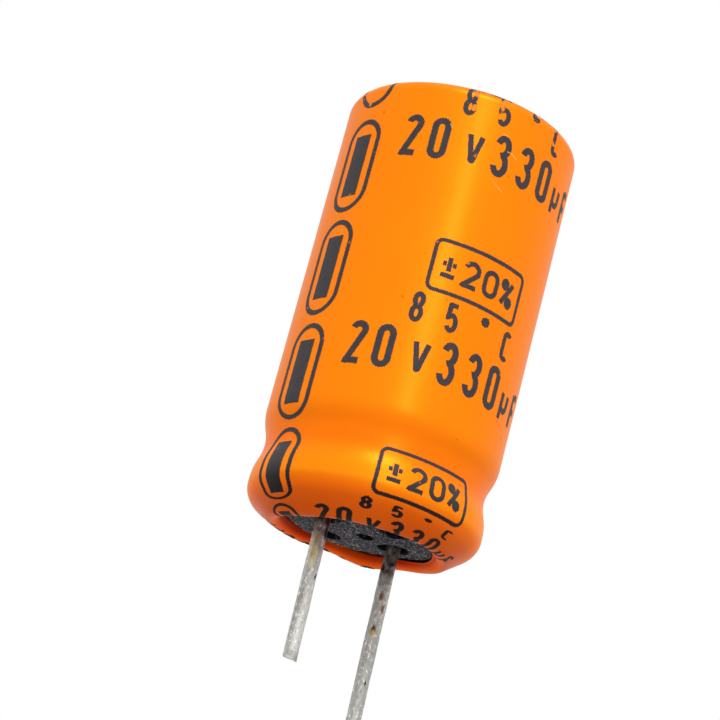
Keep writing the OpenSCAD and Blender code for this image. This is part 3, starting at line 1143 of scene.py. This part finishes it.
def lead(name, x, end, lean, material, node, cut_angle=None):
    """One lead. It leans by a horizontal vector at its end, as a handled wire does."""
    wire = spun(lead_section(end), steps=SPIN_STEPS)
    for vert in wire.verts:
        vert.co = lumpy(vert.co, end, Vector((x, x * 2, 0)))
        if cut_angle is not None:
            vert.co = pinch(vert.co, end, cut_angle)
        bend = max(0.0, (ROOT_Z - vert.co.z) / (ROOT_Z - end)) ** 1.3
        vert.co += lean * bend + Vector((x, 0, 0))
    finished(name, wire, material, replaces=(node,))


# %% The leads' material
# Burns and stains are long along the wire, so the height is shortened before they are measured
BURN_STRETCH = 0.45


def tin_material(name, shades, flux_colour, flux_low, flux_high, burns):
    """Solder-dipped tin: dull metal with bright and dark flecks drawn along the wire, and flux.

    Its streaks are partly painted reflection, and in the well it is painted dark as shade.
    """
    material, tree, skin, place = new_material(name, "#b4b2ab", Metallic=0.75)
    height = add(tree, "SeparateXYZ", out="Z", Vector=place)
    # The streaks along the wire are partly drawing marks and partly painted reflection, in dark and
    # pale bands.
    die_marks_and_painted_reflection = add(tree, "Mapping", Vector=place, Scale=(1, 1, 0.03))
    streak = add(tree, "TexNoise", Vector=die_marks_and_painted_reflection, Scale=per(0.5), Detail=2.0)
    colour = add(tree, "ValToRGB", Fac=streak, stops=list(zip((0.32, 0.46, 0.56, 0.7), shades)))
    along = add(tree, "Mapping", Vector=place, Scale=(1, 1, 0.6))
    fleck = add(tree, "TexNoise", Vector=along, Scale=per(0.16), Detail=5.0, Roughness=0.7)
    tarnish = add(tree, "TexNoise", Vector=along, Scale=per(0.9), Detail=3.0)
    for tone, pattern, low, high, share in (
            ("#5c5750", fleck, 0.45, 0.33, 0.578), ("#fbfbf8", fleck, 0.56, 0.64, 0.807),
            ("#857c6e", tarnish, 0.52, 0.68, 0.202)):
        colour = laid_over(colour, tone, pattern, low, high, share)
    blotch = add(tree, "TexNoise", Vector=place, Scale=per(0.5), Detail=4.0)
    flux = add(tree, "MapRange", Value=height, From_Min=flux_low * MM, From_Max=flux_high * MM)
    patchy = add(tree, "MapRange", Value=blotch, From_Min=0.3, From_Max=0.6)
    wet = add(tree, "Math", operation="MULTIPLY", In0=flux, In1=patchy)
    colour = laid_over(colour, flux_colour, wet)
    shortened = add(tree, "Mapping", Vector=place, Scale=(1, 1, BURN_STRETCH))
    for (x, y, z), radius, tone in burns:
        burn = spot(shortened, (x, y, z * BURN_STRETCH), radius, radius * 0.7, blotch, radius)
        colour = laid_over(colour, tone, burn)
    # Where the wire stands in the bung's well it is painted near black, as painted shade.
    painted_well_shade_on_wire = laid_over(colour, "#050404", height, 0.35 * MM, 0.95 * MM)
    finish(skin, painted_well_shade_on_wire, fleck, 0.05,
           Roughness=add(tree, "MapRange", Value=fleck, To_Min=0.55, To_Max=0.25))
    return material


# %% Make both leads
CATHODE_END = -7.5
ANODE_END = -12.0
RIGHT_ON_BOARD = Vector((right.x, right.y, 0)).normalized()
cathode_tin = tin_material(
    "tin_on_short_lead", ("#9b9994", "#c6c5c0", "#dad9d4", "#b2b0aa"), "#4a261c", -0.9, 0.0, [
        ((-2.82, -0.32, -0.9), 0.2, "#a08e5c"), ((-2.83, -0.33, -1.6), 0.22, "#b3a066"),
        ((-2.82, -0.34, -2.3), 0.16, "#c2b98e"), ((-2.35, -0.38, -0.4), 0.2, "#3c241c"),
        ((-2.35, -0.38, -2.9), 0.1, "#3a2a20")])
anode_tin = tin_material(
    "tin_on_long_lead", ("#7e7c77", "#a09e99", "#b0afa9", "#8e8c86"), "#2b1d17", -1.9, -0.8, [
        ((2.3, -0.35, -4.12), 0.13, "#4a3016"), ((2.3, -0.35, -4.35), 0.1, "#b08a48"),
        ((2.3, -0.3, -2.2), 0.14, "#6e4630"), ((2.5, -0.42, -2.9), 0.12, "#7a5a42"),
        ((2.57, -0.49, -7.1), 0.07, "#1c1410")])
lead("cathode_wire", -LEAD_X, CATHODE_END, RIGHT_ON_BOARD * 0.18, cathode_tin, "cathode_lead",
     cut_angle=math.radians(-105))
lead("anode_wire", LEAD_X, ANODE_END, RIGHT_ON_BOARD * 0.32, anode_tin, "anode_lead")

# %% [markdown]
# ## The can and what it holds
#
# The can is deep drawn from soft aluminium, so it has a satin face with faint rings from the
# polished punch. Of what it holds nothing shows, but a reader may cut the model open, so the roll
# of foil and paper, its tape and its two terminals get their own finishes. Their CAD shapes stay.

# %% Materials of the can and the parts inside
def drawn_aluminium():
    """Deep-drawn aluminium, degreased: satin, with fine rings and a few handling marks."""
    material, tree, skin, place = new_material("drawn_aluminium", "#c3c4c6", Metallic=1.0)
    rings = add(tree, "TexWave", out="Fac", wave_type="RINGS", rings_direction="Z", Vector=place,
                Scale=per(0.5), Distortion=1.5, Detail=2.0)
    cloud = add(tree, "TexNoise", Vector=place, Scale=per(2.5), Detail=4.0)
    metal = add(tree, "ValToRGB", Fac=cloud, stops=[(0.35, "#a9aaad"), (0.65, "#cfd0d2")])
    finish(skin, metal, rings, 0.003,
           Roughness=add(tree, "MapRange", Value=cloud, To_Min=0.26, To_Max=0.46))
    return material


def pressed_aluminium():
    """The terminals, pure aluminium stitched and pressed cold: matt, with press marks."""
    material, tree, skin, place = new_material("pressed_aluminium", "#b9babb", Metallic=1.0,
                                                     Roughness=0.5)
    mottled(skin, place, 0.3, 4.0, [(0.35, "#9fa0a2"), (0.7, "#c9cacb")], 0.01)
    return material


def wound_paper():
    """Kraft paper soaked in electrolyte, with the edge of the foil between its turns."""
    material, tree, skin, place = new_material("wet_kraft_paper", "#b39a6e", Roughness=0.6)
    turns = add(tree, "TexWave", out="Fac", wave_type="RINGS", rings_direction="Z", Vector=place,
                Scale=per(0.3), Distortion=0.6, Detail=1.0)
    fibre = add(tree, "TexNoise", Vector=place, Scale=per(0.25), Detail=5.0)
    paper = add(tree, "ValToRGB", Fac=fibre, stops=[(0.3, "#94794c"), (0.7, "#c2aa7d")])
    finish(skin, laid_over(paper, "#8f9092", turns, 0.6, 0.9, 0.279), fibre, 0.01)
    return material


def gummed_tape():
    """Gummed paper tape over the roll: smoother and paler than the paper under it."""
    material, tree, skin, place = new_material("gummed_paper_tape", "#cbb587", Roughness=0.45)
    mottled(skin, place, 0.35, 4.0, [(0.3, "#b59d6b"), (0.7, "#d6c298")], 0.006)
    return material


# %% Dress the can and the parts inside
dress(drawn_aluminium(), "can")
dress(pressed_aluminium(), "cathode_tab", "anode_tab")
dress(wound_paper(), "winding")
dress(gummed_tape(), "stop_tape")
print("dressed the can and four parts inside it")

# %% [markdown]
# ## Light, floor and backdrop
#
# The photograph has a white ground and soft light from all round, with one soft box above and a
# narrow, tall one beside the camera that runs down the barrel as a faint streak. The background
# looks white to the camera and in reflections, and lights the piece a little less than that. The
# floor lies far below, out of the picture.

# %% Floor and backdrop
FLOOR_Z = -180.0
floor_mesh = bmesh.new()
bmesh.ops.create_grid(floor_mesh, x_segments=1, y_segments=1, size=2.5)
bmesh.ops.translate(floor_mesh, vec=(0, 0, FLOOR_Z * MM), verts=floor_mesh.verts)
floor_data = bpy.data.meshes.new("floor")
floor_mesh.to_mesh(floor_data)
floor_mesh.free()
floor_data.materials.append(new_material("pale_floor", "#f2f2f0", Roughness=0.9)[0])
placed("floor", floor_data)

# The light from all round, under white, so that the film's colour stays below clipping
AMBIENT = 0.72
world = bpy.data.worlds.new("studio")
world.use_nodes = True
bpy.context.scene.world = world
tree = world.node_tree
ray = add(tree, "LightPath").node.outputs
seen = add(tree, "Math", operation="MAXIMUM", In0=ray["Is Camera Ray"], In1=ray["Is Glossy Ray"])
seen = add(tree, "Math", operation="MAXIMUM", In0=seen, In1=ray["Is Transmission Ray"])
ambient = add(tree, "Background", Color=(1, 1, 1, 1), Strength=AMBIENT)
white = add(tree, "Background", Color=(1, 1, 1, 1), Strength=1.0)
shown = add(tree, "MixShader", Fac=seen, In1=ambient, In2=white)
fill(tree.nodes["World Output"], {"Surface": shown})
print("floor at", FLOOR_Z, "mm, light from all round at", AMBIENT)


# %% Lights
def soft_light(name, azimuth, elevation, distance, width, height, watts):
    """A soft box aimed at the body's middle. Azimuth and elevation are in degrees."""
    a, e = math.radians(azimuth), math.radians(elevation)
    way = Vector((math.sin(a) * math.cos(e), -math.cos(a) * math.cos(e), math.sin(e)))
    lamp = placed(name, bpy.data.lights.new(name, "AREA"), AXIS_POINT + way * distance,
                  way.to_track_quat("Z", "Y"))
    lamp.data.shape = "RECTANGLE"
    lamp.data.size = width * MM
    lamp.data.size_y = height * MM
    lamp.data.energy = watts


soft_light("overhead_box", -30, 55, 420, 160, 160, 0.9)
soft_light("tall_box", -24, 20, 300, 36, 170, 0.15)

# %% Finish
bpy.context.scene.view_settings.view_transform = "Standard"
